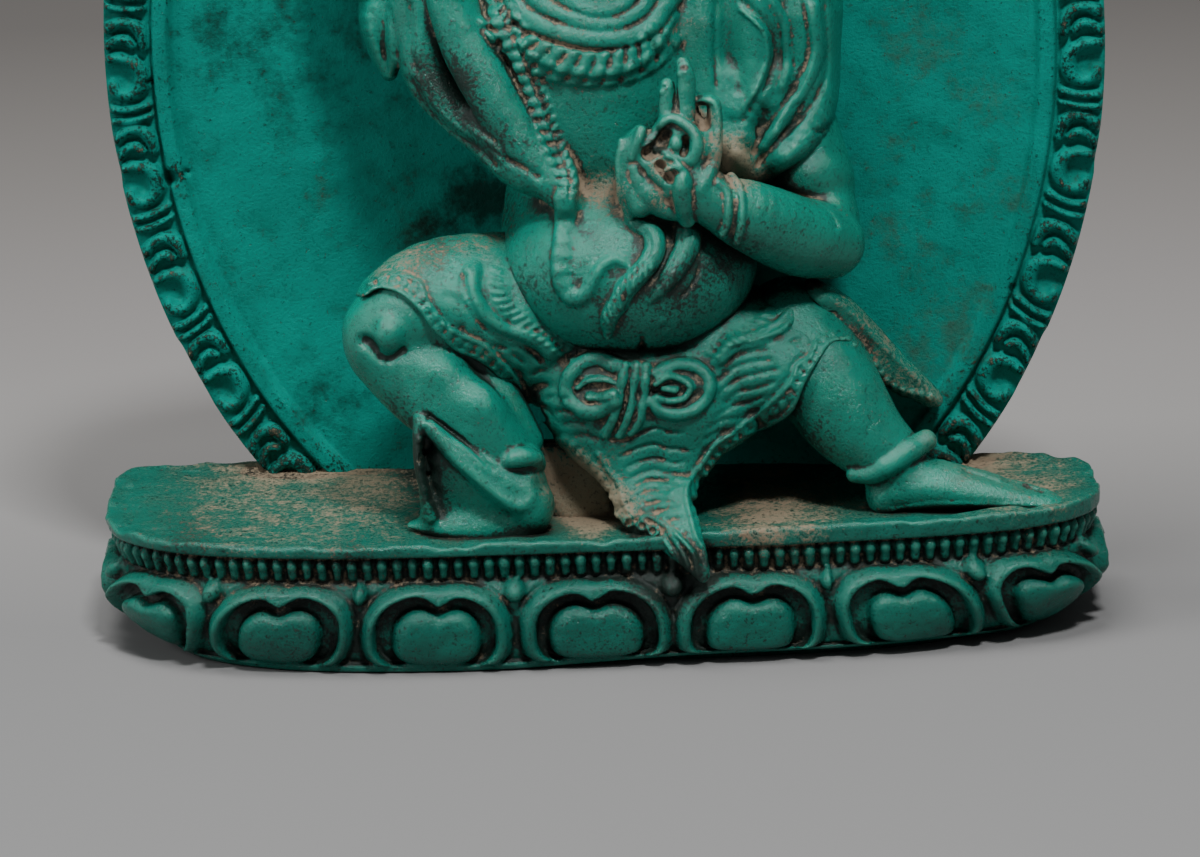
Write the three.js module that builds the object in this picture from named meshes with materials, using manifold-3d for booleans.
import * as THREE from 'three';
import { mergeVertices } from 'three/addons/utils/BufferGeometryUtils.js';
import Module from 'manifold-3d';

const wasm = await Module();
wasm.setup();

// A small cast altar figure: a wrathful deity on a half lotus, in front of an oval aureole.
// Millimetres, +Z up, the figure faces -Y, origin in the middle of the footprint.

// Plinth, measured at the rim of its top plate; pairs are for its left and right ends
const HALF_WIDTH = 51.3;
const FRONT_DEPTH = [20.9, 18.6];
const FRONT_POWER = [3, 4.2];
const BACK_DEPTH = 12.9;
const BACK_YAW = 0.066;
const BACK_POWER = [9, 4.5];
const PLINTH_TOP = 13.5;
const RAISED_RIM = 0.6;
const PLATE_UNDER_Z = 12.1;
const FOOT_TUCK_AT_ENDS = 7;
const FOOT_TUCK_BELOW = 6;

// Lotus petals
const PETAL_PITCH = 16;
const PETAL_PHASE = -1.1;
const PETALS_EACH_SIDE = 4;
const PETAL_COLUMNS = [-1, -0.88, -0.72, -0.5, 0, 0.5, 0.72, 0.88];
const PETAL_BASE_Z = 3.6;
const PETAL_RISE = 6.2;
const PETAL_DROP = 3.4;
const PETAL_LIP = 1.5;
const PETAL_LIP_INNER = 0.76;
const PETAL_PAD = 1.3;
const PETAL_PAD_OUTER = 0.64;

// Beaded band under the rim
const BEAD_PITCH = 3.1;
const BEADED_LENGTH = 146;
const BEAD_LOW_Z = 9.7;
const BEAD_HIGH_Z = 12.4;
const BEAD_OUT = -0.45;
const BEAD_IN = -1.5;

// Aureole
const AUREOLE_X = 1.6;
const AUREOLE_Z = 58.4;
const AUREOLE_HALF_WIDTH = 51.9;
const AUREOLE_HALF_HEIGHT = 64.5;
const AUREOLE_TIP = 2.1;
const AUREOLE_BACK_Y = 12.6;
const AUREOLE_FOOT_Z = 5;
const PLATE_THICK = 3.2;
const BORDER_THICK = 4.3;
const BORDER_ROOT = 1.5;
const FLAME_BAND = 4.4;
const RIDGE_OUTER = 5.2;
const RIDGE_INNER = 7.2;
const FLAME_COUNT = 26;
const SLIT_HALF_WIDTH = 0.45;

// Necklet
const FRINGE_LEAVES = 9;

// Brings the middle of the overall footprint to the origin
const FOOTPRINT_SHIFT = [-0.45, 3.15, 0];

// Side of a limb's section that looks at the viewer
const TOWARDS_VIEWER = new THREE.Vector3(0, -1, 0);

function solidOf(geometry) {
  geometry.deleteAttribute('normal');
  geometry.deleteAttribute('uv');
  const welded = mergeVertices(geometry, 1e-4);
  return new wasm.Manifold(new wasm.Mesh({
    numProp: 3,
    vertProperties: new Float32Array(welded.attributes.position.array),
    triVerts: new Uint32Array(welded.index.array),
  }));
}

function geometryOf(solid) {
  const mesh = solid.getMesh();
  const geometry = new THREE.BufferGeometry();
  geometry.setAttribute('position', new THREE.BufferAttribute(mesh.vertProperties, 3));
  geometry.setIndex(new THREE.BufferAttribute(mesh.triVerts, 1));
  geometry.computeVertexNormals();
  return geometry;
}

// A closed skin over rings of equal length, capped by a fan at each end
function skin(rings, firstPole, lastPole) {
  const count = rings[0].length;
  const positions = [];
  const faces = [];
  for (const ring of rings) {
    for (const point of ring) positions.push(point.x, point.y, point.z);
  }
  const first = positions.length / 3;
  positions.push(firstPole.x, firstPole.y, firstPole.z, lastPole.x, lastPole.y, lastPole.z);
  const top = (rings.length - 1) * count;
  for (let i = 0; i < count; i += 1) {
    const j = (i + 1) % count;
    faces.push(first, j, i);
    faces.push(first + 1, top + i, top + j);
    for (let k = 0; k < rings.length - 1; k += 1) {
      const low = k * count;
      const high = low + count;
      faces.push(low + i, low + j, high + j, low + i, high + j, high + i);
    }
  }
  const geometry = new THREE.BufferGeometry();
  geometry.setAttribute('position', new THREE.Float32BufferAttribute(positions, 3));
  geometry.setIndex(faces);
  return geometry;
}

// A limb, fold, strap or finger: stations are [x, y, z, half width across, half depth]
function limb(stations, sides = 8, steps = 2) {
  const path = new THREE.CatmullRomCurve3(stations.map(([x, y, z]) => new THREE.Vector3(x, y, z)));
  const last = stations.length - 1;
  const sections = [];
  for (let k = 0; k <= last * steps; k += 1) {
    const t = k / (last * steps);
    const from = Math.min(Math.floor(k / steps), last - 1);
    const blend = k / steps - from;
    const across = THREE.MathUtils.lerp(stations[from][3], stations[from + 1][3], blend);
    const deep = THREE.MathUtils.lerp(stations[from][4], stations[from + 1][4], blend);
    const along = path.getTangent(t);
    const side = new THREE.Vector3().crossVectors(along, TOWARDS_VIEWER).normalize();
    const out = new THREE.Vector3().crossVectors(side, along).normalize();
    sections.push({ centre: path.getPoint(t), along, side, out, across, deep });
  }
  const rings = sections.map((s) => Array.from({ length: sides }, (_, i) => {
    const angle = ((i + 0.5) / sides) * 2 * Math.PI;
    return s.centre.clone()
      .addScaledVector(s.side, -s.across * Math.cos(angle))
      .addScaledVector(s.out, s.deep * Math.sin(angle));
  }));
  const start = sections[0];
  const end = sections[sections.length - 1];
  const startPole = start.centre.clone().addScaledVector(start.along, -0.5 * Math.min(start.across, start.deep));
  const endPole = end.centre.clone().addScaledVector(end.along, 0.5 * Math.min(end.across, end.deep));
  return solidOf(skin(rings, startPole, endPole));
}

function ball(x, y, z, rx, ry, rz, around = 10, tall = 7) {
  const geometry = new THREE.SphereGeometry(1, around, tall);
  geometry.rotateX(Math.PI / 2);
  geometry.scale(rx, ry, rz);
  geometry.translate(x, y, z);
  return solidOf(geometry);
}

// A ring seen from the front, such as a bow loop or a bangle, turned about its own centre
function ring(x, y, z, radius, thick, squash, tilt, turn, around = 8) {
  const geometry = new THREE.TorusGeometry(radius, thick, 4, around);
  geometry.scale(1, squash, 1);
  geometry.rotateX(Math.PI / 2 + tilt);
  geometry.rotateZ(turn);
  geometry.translate(x, y, z);
  return solidOf(geometry);
}

// Plan of the plinth's rim: a blunt D, shallower on the right
function planPoint(angle) {
  const c = Math.cos(angle);
  const s = Math.sin(angle);
  const power = THREE.MathUtils.lerp(...(s < 0 ? FRONT_POWER : BACK_POWER), (c + 1) / 2);
  const reach = (Math.abs(c) ** power + Math.abs(s) ** power) ** (-1 / power);
  const x = HALF_WIDTH * reach * c;
  const front = THREE.MathUtils.lerp(...FRONT_DEPTH, (x / HALF_WIDTH + 1) / 2);
  const back = BACK_DEPTH - BACK_YAW * x;
  return new THREE.Vector2(x, (s < 0 ? front : back) * reach * s);
}

// The rim as a line measured in millimetres from the middle of the front, towards +X
function measureRim() {
  const steps = 1440;
  const points = [];
  for (let i = 0; i <= steps; i += 1) points.push(planPoint(-Math.PI / 2 + (i / steps) * 2 * Math.PI));
  const lengths = [0];
  for (let i = 1; i <= steps; i += 1) lengths.push(lengths[i - 1] + points[i].distanceTo(points[i - 1]));
  return { points, lengths, total: lengths[steps] };
}

const RIM = measureRim();

function rimAt(distance) {
  const wanted = THREE.MathUtils.euclideanModulo(distance, RIM.total);
  let i = 1;
  while (RIM.lengths[i] < wanted) i += 1;
  const blend = (wanted - RIM.lengths[i - 1]) / (RIM.lengths[i] - RIM.lengths[i - 1]);
  const point = RIM.points[i - 1].clone().lerp(RIM.points[i], blend);
  const along = RIM.points[i].clone().sub(RIM.points[i - 1]).normalize();
  return { point, outward: new THREE.Vector2(along.y, -along.x) };
}

function rimPoint(distance, offset, z) {
  const { point, outward } = rimAt(distance);
  const low = Math.max(0, 1 - z / FOOT_TUCK_BELOW) ** 1.5;
  const out = offset - FOOT_TUCK_AT_ENDS * low * Math.abs(point.x / HALF_WIDTH) ** 4;
  return new THREE.Vector3(point.x + outward.x * out, point.y + outward.y * out, z);
}

// Height of the lotus relief over the wall: a raised lip, a groove and a bulging pad
function petalRelief(across, z) {
  const notch = 1 - 0.1 * Math.exp(-((across / 0.2) ** 2));
  const up = z > PETAL_BASE_Z ? PETAL_RISE * notch : PETAL_DROP;
  const reach = (Math.abs(across) ** 2.6 + Math.abs((z - PETAL_BASE_Z) / up) ** 2.6) ** (1 / 2.6);
  if (reach > 1) return 0;
  if (reach > PETAL_LIP_INNER) return PETAL_LIP;
  if (reach > PETAL_PAD_OUTER) return 0;
  return PETAL_PAD;
}

function plinthWall() {
  const rows = [[0, -1.6], [0.8, -1.2], [1.8, -0.9], [4, -0.4], [6.4, -0.3], [7.4, -0.4], [8.3, -0.6],
    [9.2, -1.1], [10, -1.8]];
  const stops = [];
  for (let k = -PETALS_EACH_SIDE; k <= PETALS_EACH_SIDE; k += 1) {
    for (const across of PETAL_COLUMNS) {
      stops.push({ distance: PETAL_PHASE + PETAL_PITCH * (k + across / 2), across });
    }
  }
  const front = (PETALS_EACH_SIDE + 0.5) * PETAL_PITCH;
  const behind = RIM.total - 2 * front;
  for (let i = 0; i < 12; i += 1) stops.push({ distance: PETAL_PHASE + front + (behind * i) / 12, across: 1 });
  const rings = rows.map(([z, offset], row) => stops.map(({ distance, across }) => {
    const relief = row > 1 && row < rows.length - 1 ? petalRelief(across, z) : 0;
    return rimPoint(distance, offset + relief, z);
  }));
  return solidOf(skin(rings, new THREE.Vector3(0, 0, 0), new THREE.Vector3(0, 0, rows.at(-1)[0])));
}

function beadBand() {
  const count = 2 * Math.round(BEADED_LENGTH / BEAD_PITCH);
  const stops = Array.from({ length: count + 1 }, (_, i) => (i - count / 2) * (BEAD_PITCH / 2));
  const behind = RIM.total - BEADED_LENGTH;
  for (let i = 1; i < 10; i += 1) stops.push(BEADED_LENGTH / 2 + (behind * i) / 10);
  const rings = [BEAD_LOW_Z, BEAD_HIGH_Z].map((z) => stops.map((stop, i) => (
    rimPoint(stop, i <= count && i % 2 ? BEAD_OUT : BEAD_IN, z))));
  return solidOf(skin(rings, new THREE.Vector3(0, 0, BEAD_LOW_Z), new THREE.Vector3(0, 0, BEAD_HIGH_Z)));
}

function topPlate() {
  const columns = 44;
  const rows = [[PLATE_UNDER_Z, -0.3], [PLATE_UNDER_Z + 0.5, 0.1], [PLINTH_TOP, -0.1]];
  const rings = rows.map(([z, offset], row) => Array.from({ length: columns }, (_, i) => {
    const point = rimPoint((i / columns) * RIM.total, offset, z);
    const raised = THREE.MathUtils.smoothstep(point.x, 3, 13) * THREE.MathUtils.smoothstep(-point.y, 2, 12);
    if (row === 2) point.z += RAISED_RIM * raised;
    return point;
  }));
  return solidOf(skin(rings, new THREE.Vector3(0, 0, PLATE_UNDER_Z), new THREE.Vector3(0, 0, PLINTH_TOP - 0.2)));
}

// Outline of the aureole, inset by a distance; the top is drawn up to a soft point
function ovalPoint(angle, inset) {
  const tip = AUREOLE_TIP * Math.max(0, Math.sin(angle)) ** 40;
  return new THREE.Vector2(
    (AUREOLE_HALF_WIDTH - inset) * Math.cos(angle),
    (AUREOLE_HALF_HEIGHT - inset) * Math.sin(angle) + tip,
  );
}

function ovalPath(inset, Kind, segments = 48) {
  const path = new Kind();
  const points = Array.from({ length: segments }, (_, i) => ovalPoint((i / segments) * 2 * Math.PI, inset));
  path.setFromPoints(points);
  path.closePath();
  return path;
}

// Stand an outline drawn in x and z upright behind the figure, between two distances from its back
function upright(shape, from, to) {
  const geometry = new THREE.ExtrudeGeometry(shape, { depth: to - from, bevelEnabled: false });
  geometry.rotateX(Math.PI / 2);
  geometry.translate(0, -from, 0);
  geometry.rotateZ(-Math.atan(BACK_YAW));
  geometry.translate(AUREOLE_X, AUREOLE_BACK_Y, AUREOLE_Z);
  return solidOf(geometry);
}

// One dark slit between two flame curls, leaning with the flames
function flameSlit(angle, lean, length) {
  const centre = ovalPoint(angle, FLAME_BAND / 2 + 0.1);
  const along = ovalPoint(angle + 0.01, 2).sub(ovalPoint(angle - 0.01, 2)).normalize();
  const inward = new THREE.Vector2(-along.y, along.x);
  const axis = inward.clone().addScaledVector(along, lean).normalize().multiplyScalar(length);
  const wide = new THREE.Vector2(-axis.y, axis.x).normalize().multiplyScalar(SLIT_HALF_WIDTH);
  const corner = (a, w) => centre.clone().addScaledVector(axis, a).addScaledVector(wide, w);
  const path = new THREE.Path();
  path.setFromPoints([corner(-1, 0), corner(-0.1, 1.1), corner(1, 0), corner(0.1, -1.1)]);
  path.closePath();
  return path;
}

function aureole() {
  const flames = ovalPath(0, THREE.Shape);
  flames.holes.push(ovalPath(FLAME_BAND + 0.3, THREE.Path, 32));
  for (let i = 0; i < FLAME_COUNT * 2; i += 1) {
    const angle = ((i + 0.5) / (FLAME_COUNT * 2)) * 2 * Math.PI;
    const mirrored = Math.cos(angle) > 0 ? 1 : -1;
    const buried = Math.sin(angle) < -0.68;
    if (!buried) flames.holes.push(flameSlit(angle, mirrored * (i % 2 ? 0.75 : 0.15), i % 2 ? 1.75 : 1.3));
  }
  const ridge = ovalPath(RIDGE_OUTER, THREE.Shape, 32);
  ridge.holes.push(ovalPath(RIDGE_INNER, THREE.Path, 32));
  const ground = new THREE.BoxGeometry(4 * HALF_WIDTH, 4 * BACK_DEPTH, 4 * BACK_DEPTH);
  ground.translate(0, BACK_DEPTH, AUREOLE_FOOT_Z - 2 * BACK_DEPTH);
  return wasm.Manifold.union([
    upright(ovalPath(0, THREE.Shape), 0, PLATE_THICK),
    upright(flames, BORDER_ROOT, BORDER_THICK),
    upright(ridge, BORDER_ROOT, BORDER_THICK),
  ]).subtract(solidOf(ground));
}

// Everything behind the middle of the aureole's thickness, to trim the figure there
function behindPlate() {
  const height = 3 * AUREOLE_HALF_HEIGHT;
  const depth = 2 * BACK_DEPTH;
  const geometry = new THREE.BoxGeometry(4 * HALF_WIDTH, depth, height);
  geometry.translate(0, depth / 2 - PLATE_THICK / 2, height / 2 - 1);
  geometry.rotateZ(-Math.atan(BACK_YAW));
  geometry.translate(AUREOLE_X, AUREOLE_BACK_Y, 0);
  return solidOf(geometry);
}

// Right leg, bent: round knee, calf, anklet and the foot standing on its outer edge
function bentLeg() {
  const sole = new THREE.Shape();
  sole.setFromPoints([[-18, 25.6], [-15.6, 25.2], [-8, 18.6], [-5.6, 15.4], [-7.4, 13], [-16.6, 13], [-17.6, 19]]
    .map(([x, z]) => new THREE.Vector2(x, z)));
  const web = new THREE.ExtrudeGeometry(sole, { depth: 3.4, bevelEnabled: false });
  web.rotateX(Math.PI / 2);
  web.translate(0, -12.4, 0);
  return [
    limb([[-13, -3, 33.8, 6.6, 8], [-18.4, -7, 34, 5.8, 6.6], [-21.8, -9.6, 32.6, 4.4, 5],
      [-19.4, -11, 29.8, 4.6, 4.8], [-14.6, -12.6, 26.4, 4.5, 4.5], [-10.8, -13.2, 23.4, 3.4, 3.6],
      [-8.8, -13.6, 20.6, 2.8, 3], [-7.5, -14, 16.2, 2.5, 2.7]], 9),
    ball(-22.3, -13.6, 33.6, 1.9, 1.6, 1.9, 6, 4),
    limb([[-7.4, -14.6, 16, 2.3, 2.2], [-12.4, -15.2, 20.6, 1.9, 2.2], [-17.4, -15.6, 25, 1, 1.6]], 6, 1),
    ring(-9.9, -14, 21, 3.1, 0.9, 1, -1.15, 0.5),
    solidOf(web),
  ];
}

// Left leg, stretched out along the plate
function stretchedLeg() {
  return [
    limb([[14, -2, 30.8, 6.2, 8], [20, -5, 29.4, 5.8, 7], [24.4, -7.6, 26, 5, 5.4],
      [27.6, -8, 21.8, 3.8, 4.2], [29.6, -8, 18, 2.9, 3.2], [30, -8.4, 15.6, 2.4, 2.8]], 9),
    limb([[28.4, -8.8, 15.6, 2.2, 2.6], [33, -8.8, 15.4, 2, 3.2], [38, -9.4, 14.6, 1.4, 3.5],
      [43, -9.8, 14, 0.9, 3.3], [46.4, -10, 13.8, 0.6, 2.2]], 8, 1),
    ring(29.6, -8, 18.4, 3.1, 1, 1, -1.25, -0.3),
  ];
}

// Tiger skin round the hips, its flare on the left thigh and its point over the rim
function skirt() {
  return [
    limb([[-1, 0, 33, 9.6, 12], [-10, -4, 34, 8.4, 9.6], [-17, -8, 34.4, 6.7, 7.2]], 8),
    limb([[6, 0, 31.6, 9, 12], [15, -4, 30.8, 7.8, 8.6], [20.6, -7, 29.2, 6.4, 6.8]], 8),
    limb([[18, 2, 32.6, 3.6, 6], [26, 0, 28.4, 2.4, 3.4], [34, -2.6, 22.8, 0.6, 1]]),
    limb([[3, -3, 31, 12.5, 9], [3.6, -8.4, 25.6, 9.4, 4.4], [5, -11.6, 20.4, 5.6, 2.2],
      [7, -16, 16.2, 2.8, 1.5], [8.8, -20.6, 13.6, 1.9, 1.2], [10, -21.6, 9.4, 0.7, 0.8]], 8),
    limb([[-22.4, -11.6, 37.8, 0.6, 0.9], [-20.2, -12.4, 39.2, 0.6, 0.9], [-17.2, -13.8, 37.6, 0.6, 0.9],
      [-16, -14.2, 34.6, 0.6, 0.9], [-11.6, -14.8, 31.4, 0.6, 0.9], [-8.6, -12.8, 27.2, 0.6, 0.9],
      [-7.4, -11, 23, 0.6, 0.9]], 4, 1),
    limb([[24, -10.6, 32, 0.6, 0.9], [21, -13, 29.4, 0.6, 0.9], [19, -12.4, 25.4, 0.6, 0.9],
      [15.4, -11, 22.6, 0.6, 0.9], [11, -11.4, 19.4, 0.6, 0.9]], 4, 1),
    limb([[-11.4, -7.4, 42, 0.8, 0.9], [-13.2, -11.2, 37.4, 0.9, 1], [-10, -14, 33.4, 0.9, 1],
      [-5, -15.4, 30.6, 0.7, 0.8]], 4, 1),
    limb([[18.6, -8.6, 37, 0.8, 0.9], [17.4, -12.2, 33, 0.9, 1], [13, -14.2, 30.2, 0.8, 0.9]], 4, 1),
  ];
}

// Sash tied in a bow under the belly
function bow() {
  const strands = [-1, 0, 1].map((k) => limb([[3.6 + 0.9 * k, -14, 29, 0.7, 1.4],
    [3.1 + k, -13.6, 25.8, 0.75, 1.2], [1.8 + 1.5 * k, -12.2, 22.4 - 0.4 * k, 0.6, 1]], 4, 1));
  return [
    ring(-0.8, -13, 27.8, 2.4, 1.1, 0.8, 0, 0.1),
    ring(8.5, -13, 27.4, 2.3, 1.1, 0.82, 0, -0.1),
    ...strands,
  ];
}

function torso() {
  return [
    ball(3.3, -5.6, 38.4, 13.3, 11.6, 9.4, 12, 8),
    limb([[2.4, 7, 16, 8, 10], [2.6, 4.4, 26, 13, 13], [2.4, 3.4, 40, 13, 14.6], [1.8, 3.4, 49, 12.4, 14.4],
      [1.2, 3.2, 57, 13.4, 14.4], [1.2, 3.4, 63, 12.6, 13.6], [1.2, 4.6, 67.6, 7, 11], [1, 7, 78, 5, 10]], 10, 1),
  ];
}

// Necklet, fringe of small leaves, snake garland and the scarf across the chest
function chestOrnaments() {
  const fringe = [];
  for (let i = 0; i < FRINGE_LEAVES; i += 1) {
    const angle = Math.PI * (0.14 + (0.72 * i) / (FRINGE_LEAVES - 1));
    const x = 1 - 8.8 * Math.cos(angle);
    const z = 68 - 7 * Math.sin(angle) ** 0.8;
    const y = -5.6 - 5.4 * Math.sin(angle);
    fringe.push(limb([[x, y + 0.4, z + 1.4, 0.8, 1.8], [x * 1.02, y, z - 1.2, 0.5, 1.4]], 4, 1));
  }
  return [
    ...fringe,
    limb([[-6.6, -7.6, 67.4, 0.9, 2], [-4, -9.2, 64.9, 0.9, 2], [1.1, -10.4, 63.8, 0.9, 2],
      [5.8, -9.4, 64.9, 0.9, 2], [8, -7.6, 67.4, 0.9, 2]], 4, 1),
    limb([[-10.6, -8.4, 66.6, 1, 1.4], [-6.2, -11.4, 58.6, 1, 1.4], [-3.4, -12.2, 50.6, 1, 1.4],
      [-2.6, -13.6, 46.4, 1, 1.3], [-3.4, -16, 41.6, 0.9, 1.2], [-2.6, -17, 38, 0.9, 1],
      [0.2, -17.3, 38, 0.9, 1], [2.4, -17.4, 40.6, 0.8, 0.9], [4.8, -16.6, 41.6, 0.6, 0.7]], 4, 1),
    limb([[-13.6, -3.6, 67, 2.6, 4], [-11.8, -5.8, 60.6, 2.8, 4.4], [-7.6, -7.6, 54, 2.8, 4],
      [-4.8, -8.6, 48, 1.6, 3]], 8, 1),
    limb([[-19, -1, 60, 1.6, 7], [-17.6, -2, 56.4, 1.7, 6], [-14.4, -3.4, 52, 1.7, 5],
      [-9, -5.4, 48.6, 1.2, 4]], 4, 1),
    limb([[-20, 2, 68, 3, 8], [-20.6, 1, 63, 2.4, 6], [-19.6, 0, 58.4, 1.4, 3]], 4, 1),
  ];
}

// Shawl over the left shoulder, its folds falling to a point by the elbow
function shawl() {
  const fold = (stations) => limb(stations.map((p) => [...p, 0.8, 1.8]), 4, 1);
  return [
    limb([[14, 6, 67.6, 7.4, 11], [16.6, 4, 60, 8.8, 12.6], [18.2, 3, 53, 7.8, 11.2], [18.4, 1, 48.4, 5, 7.6]], 9, 1),
    fold([[18.2, -6.8, 64.6], [18.6, -8, 60], [17.2, -8.4, 56.4], [15.4, -8.6, 54]]),
    fold([[22.2, -4, 65.4], [23.2, -5.4, 60], [22.4, -6.4, 56], [18.8, -7.8, 51.6], [16.4, -8.2, 49.2]]),
  ];
}

// Left arm folded to the chest, two bangles, the hand with two raised fingers and the noose
function leftArm() {
  return [
    limb([[20.4, 2, 51, 5, 7.6], [22.6, -1, 45.6, 4.6, 6.4], [23.2, -5, 41.2, 4.1, 4.4], [19.6, -9.6, 42.2, 4.3, 4.2],
      [16, -12.6, 44.6, 3.4, 3.5], [12.6, -14.4, 46.8, 2.6, 2.6], [9.8, -15.4, 49.4, 3.1, 2.1],
      [8.7, -15.4, 54, 2.8, 1.7]], 8),
    ring(14.9, -13.2, 45.2, 3.3, 0.8, 1, -0.15, 1.15),
    ring(13.1, -14.2, 46.2, 3, 0.8, 1, -0.15, 1.15),
    limb([[9, -15.8, 53, 1, 1.2], [9.3, -15.2, 60.8, 0.8, 0.9]], 5, 1),
    limb([[7.4, -15.8, 53, 0.9, 1.1], [7.4, -15.6, 58.6, 0.8, 0.9]], 5, 1),
    limb([[11, -15, 51, 0.9, 1.2], [12.4, -14.6, 57, 0.7, 0.8]], 5, 1),
    limb([[10.6, -16.4, 52, 0.8, 1], [9.9, -17.4, 55, 0.8, 0.9], [7.4, -17.6, 55.8, 0.8, 0.9],
      [5.8, -17.2, 53.4, 0.8, 0.9]], 5, 1),
    limb([[8, -16.4, 46.8, 1.5, 1.5], [5, -16.6, 48.6, 1.2, 1.3], [4.2, -16.8, 52, 0.9, 1],
      [6, -17.4, 54, 0.8, 0.9]], 5, 1),
    limb([[3.4, -15.6, 52.6, 0.8, 1.8], [3.2, -15.4, 49.6, 0.9, 2], [5, -15.8, 45.8, 1, 2],
      [6.4, -16.6, 43.4, 1.1, 1.6], [5.8, -17, 40.6, 1.1, 1.4], [3.4, -17, 37.8, 1.1, 1.2],
      [1.2, -16.8, 34.8, 0.7, 0.9]], 4, 1),
    limb([[9.6, -17, 50, 0.9, 1.5], [9.8, -16.4, 45, 0.9, 2], [9, -16.2, 41.6, 0.9, 1.6],
      [6.4, -16.4, 38.6, 0.8, 1.2], [5, -16.4, 37.6, 0.6, 0.9]], 4, 1),
  ];
}

// Head with crown, earrings and swept-up hair
function head() {
  const leaves = [-2, -1, 0, 1, 2].map((k) => {
    const angle = 0.62 * k;
    const x = 1 + 6.9 * Math.sin(angle);
    const y = -3.4 - 6.6 * Math.cos(angle);
    const tall = 6.6 - 0.7 * Math.abs(k);
    return limb([[x, y + 0.6, 81.4, 1.6, 1], [x * 1.02, y, 83.6, 2, 0.9], [x * 1.04, y, 81.6 + tall, 0.3, 0.4]], 4, 1);
  });
  return [
    ...leaves,
    ball(1, -4, 75, 7, 7.4, 8, 12, 8),
    limb([[1, -2.6, 79.6, 7.2, 7], [1, -1.8, 85, 8.2, 7], [1, -0.4, 91, 7.2, 6], [0.6, 1.4, 96.6, 4.4, 4.4],
      [-0.4, 3, 101.4, 1.2, 2]], 8, 1),
    limb([[-6.2, -6.4, 81.6, 1, 1.1], [-3.2, -10, 81.2, 1, 1.1], [1, -11.2, 81, 1, 1.1],
      [5.2, -10, 81.2, 1, 1.1], [8.2, -6.4, 81.6, 1, 1.1]], 4, 1),
    limb([[1, -11, 77.4, 0.7, 0.9], [1, -11.7, 75.4, 0.9, 1], [1, -11.6, 74.2, 1.5, 1]], 4, 1),
    limb([[-1.2, -10.4, 71.6, 0.5, 1.2], [3.2, -10.4, 71.6, 0.5, 1.2]], 4, 1),
    ball(-6, -4.2, 72, 2, 2, 2.4, 6, 4),
    ball(8, -4.2, 72, 2, 2, 2.4, 6, 4),
    limb([[1, 8, 70, 5, 10], [1, 8, 82, 6, 10], [1, 9, 94, 4.4, 9]], 8, 1),
  ];
}

// Right arm lifted beside the head, the sword laid back against the aureole
function swordArm() {
  const blade = new THREE.Shape();
  blade.setFromPoints([[-1.3, 0], [-1.7, 16], [-2.3, 21], [0, 28], [2.3, 21], [1.7, 16], [1.3, 0]]
    .map(([x, z]) => new THREE.Vector2(x, z)));
  const plate = new THREE.ExtrudeGeometry(blade, {
    depth: 5, bevelThickness: 0.8, bevelSize: 0.8, bevelOffset: -0.8, bevelSegments: 1,
  });
  plate.rotateX(Math.PI / 2);
  plate.rotateY(0.42);
  plate.translate(-20.6, 12.2, 87.6);
  return [
    limb([[-9, 4, 62, 5, 9.4], [-17, 5, 66.6, 4.6, 9.6], [-23, 7, 70, 3.9, 8.6], [-24, 7.6, 77, 3.4, 7.8],
      [-22.6, 9, 84, 2.6, 6.6]], 7),
    ball(-22.2, 8.6, 85.4, 3, 6.6, 2.6, 8, 6),
    limb([[-25.6, 9.4, 89.6, 0.9, 4.6], [-21, 9.4, 88, 1.1, 4.6], [-16.6, 9.4, 86, 0.9, 4.6]], 4, 1),
    limb([[-23.4, 8.6, 81.6, 0.9, 3], [-24.6, 8.6, 79.6, 1.1, 3]], 4, 1),
    solidOf(plate),
  ];
}

function statue() {
  const figure = wasm.Manifold.union([
    ...bentLeg(),
    ...stretchedLeg(),
    ...skirt(),
    ...bow(),
    ...torso(),
    ...chestOrnaments(),
    ...shawl(),
    ...leftArm(),
    ...head(),
    ...swordArm(),
  ]).subtract(behindPlate());
  return wasm.Manifold.union([plinthWall(), beadBand(), topPlate(), aureole(), figure]);
}

const turquoise = new THREE.MeshStandardMaterial({ color: 0x1f7a68, roughness: 0.45, metalness: 0 });
const casting = new THREE.Mesh(geometryOf(statue()), turquoise);
casting.name = 'statue';
casting.position.set(...FOOTPRINT_SHIFT);

const group = new THREE.Group();
group.add(casting);

export default group;
